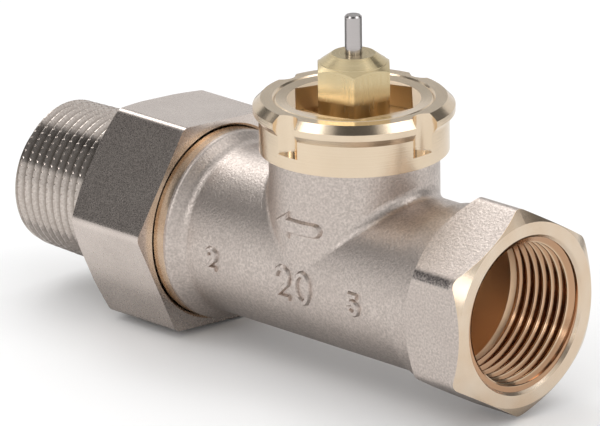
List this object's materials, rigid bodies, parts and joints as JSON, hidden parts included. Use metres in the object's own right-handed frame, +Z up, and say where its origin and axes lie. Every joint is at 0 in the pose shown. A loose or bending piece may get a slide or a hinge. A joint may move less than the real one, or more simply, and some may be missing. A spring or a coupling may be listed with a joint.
{
  "type": "thermostatic radiator valve body",
  "caption": "Straight radiator valve body with a hexagon inlet socket, notched brass head collar, sprung pressure pin, and a union nut holding a taper-threaded tailpiece.",
  "frame": {"origin": "centre of the inlet mouth, on the flow axis", "axes": "+X out of the inlet along the flow axis, +Z up along the pressure pin"},
  "size_m": [0.1093, 0.041, 0.0623],
  "materials": {
    "plated_forging": "satin nickel plate over a blasted forging, machined faces bare brass",
    "plated_nut": "satin nickel plate",
    "plated_tail": "bright nickel plate on a cut thread",
    "turned_brass": "fine turned brass",
    "gland_brass": "turned and milled brass",
    "pin_steel": "ground stainless steel",
    "spring_steel": "drawn stainless wire",
    "seal_rubber": "moulded rubber",
    "spacer_plastic": "moulded plastic"
  },
  "bodies": {
    "body": {"valve_body": "plated_forging", "head_collar": "turned_brass", "insert_housing": "turned_brass", "housing_seal": "seal_rubber", "gland_nut": "gland_brass", "gland_seal": "seal_rubber", "upper_pin_seal": "seal_rubber", "seal_spacer": "spacer_plastic", "lower_pin_seal": "seal_rubber", "gland_bush": "gland_brass", "guide_bush": "turned_brass", "guide_clip": "spring_steel", "return_spring": "spring_steel"},
    "stem": {"pressure_pin": "pin_steel", "spindle": "pin_steel", "spring_plate": "pin_steel", "valve_cone": "turned_brass", "seat_disc": "seal_rubber", "disc_washer": "turned_brass", "cone_nut": "turned_brass"},
    "tail": {"tailpiece": "plated_tail"},
    "nut": {"union_nut": "plated_nut"}
  },
  "joints": [
    {"name": "pin_press", "type": "slide", "parent": "body", "child": "stem", "axis": [0, 0, -1], "range_m": [0, 0.0025], "stiffness_N_per_m": 6000, "springref_m": -0.004, "deforming": ["return_spring"]},
    {"name": "tail_travel", "type": "slide", "parent": "body", "child": "tail", "axis": [-1, 0, 0], "range_m": [0, 0.00808]},
    {"name": "nut_turn", "type": "hinge", "parent": "tail", "child": "nut", "pos_m": [-0.0793, 0, 0], "axis": [-1, 0, 0], "range_deg": [0, 1260]}
  ],
  "couplings": [
    {"joint": "nut_turn", "follows": "tail_travel", "rad_per_m": 2721.2}
  ]
}
